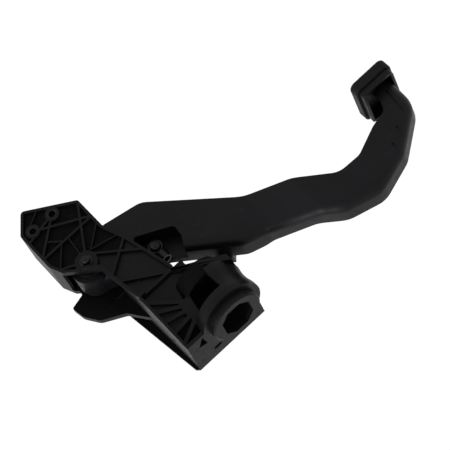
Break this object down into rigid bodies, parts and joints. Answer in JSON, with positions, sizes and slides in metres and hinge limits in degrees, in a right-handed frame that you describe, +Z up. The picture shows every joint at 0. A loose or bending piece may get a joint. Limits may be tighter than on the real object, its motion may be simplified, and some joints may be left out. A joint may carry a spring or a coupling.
{
  "type": "clutch pedal",
  "caption": "Suspended clutch pedal: a jogged plastic arm with a rubber-covered pad turns in a ribbed bracket whose flange and spigot barrel mount to the bulkhead.",
  "frame": {"origin": "on the axis of the bulkhead spigot, in the front face of the bracket's flange", "axes": "+X to the car's right, +Y forward to the bulkhead, +Z up"},
  "size_m": [0.0965, 0.2429, 0.3523],
  "materials": {
    "bracket_plastic": "matte moulded black",
    "arm_plastic": "satin moulded black",
    "pad_rubber": "matte rubber",
    "buffer_rubber": "matte rubber",
    "bush_plastic": "black acetal",
    "clip_plastic": "black acetal",
    "steel": "black zinc plated"
  },
  "bodies": {
    "bracket": {"bracket": "bracket_plastic", "pivot_pin": "steel", "star_washer": "steel", "pivot_sleeve": "steel", "floor_stop_buffer": "buffer_rubber", "return_stop_buffer": "buffer_rubber", "fixing_sleeves": "steel"},
    "pedal": {"pedal_arm": "arm_plastic", "pad_rubber": "pad_rubber", "bush_left": "bush_plastic", "bush_right": "bush_plastic", "push_rod_stud": "steel", "push_rod_clip": "clip_plastic"}
  },
  "joints": [
    {"name": "pedal_pivot", "type": "hinge", "parent": "bracket", "child": "pedal", "pos_m": [0, -0.128, 0.062], "axis": [1, 0, 0], "range_deg": [-26, 0]}
  ]
}
